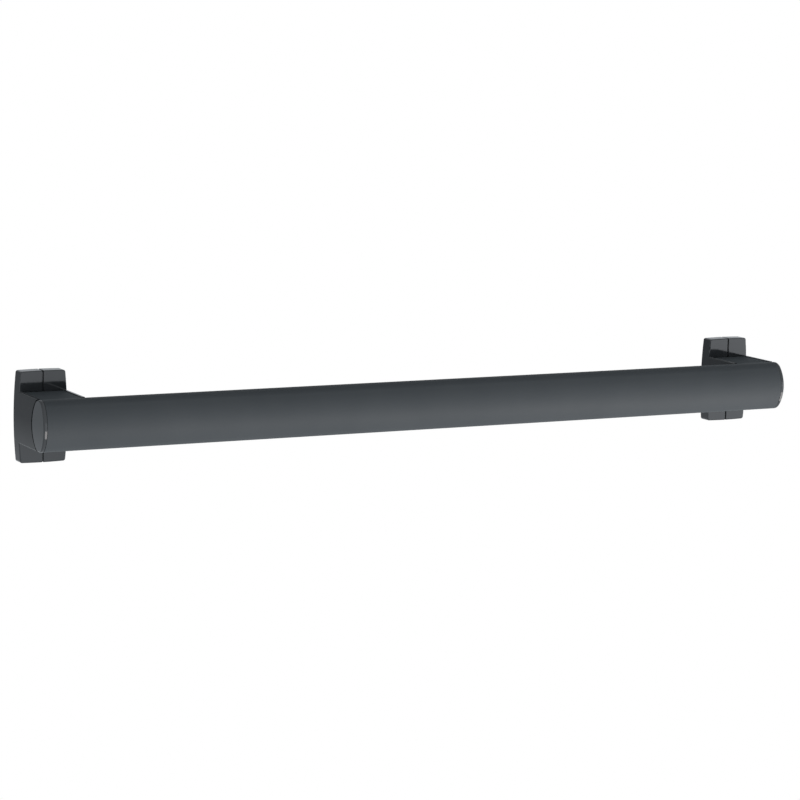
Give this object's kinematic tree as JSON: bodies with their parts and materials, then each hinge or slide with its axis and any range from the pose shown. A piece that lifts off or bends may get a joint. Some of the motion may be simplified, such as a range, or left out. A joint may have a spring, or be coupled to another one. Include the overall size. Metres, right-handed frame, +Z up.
{
  "type": "grab bar",
  "caption": "Straight wall grab bar with a flattened oval hand rail on short arms, split collar covers at the wall and capped ends.",
  "frame": {"origin": "on the wall plane, midway between the two posts, level with the bar's axis", "axes": "+X along the bar to the right as seen from the room, +Y into the wall, +Z up"},
  "size_m": [0.6, 0.062, 0.0644],
  "materials": {
    "satin_coat": "satin anthracite powder coat on aluminium",
    "gloss_cover": "glossy anthracite moulding",
    "bright_steel": "zinc-plated steel"
  },
  "bodies": {
    "root": {"bar_tube": "satin_coat", "left_post": "satin_coat", "left_outer_cover": "gloss_cover", "left_inner_cover": "gloss_cover", "left_end_cap": "gloss_cover", "left_clamp_nut": "bright_steel", "left_clamp_screws": "bright_steel", "left_clamp_washers": "bright_steel", "right_post": "satin_coat", "right_outer_cover": "gloss_cover", "right_inner_cover": "gloss_cover", "right_end_cap": "gloss_cover", "right_clamp_nut": "bright_steel", "right_clamp_screws": "bright_steel", "right_clamp_washers": "bright_steel"}
  },
  "joints": []
}
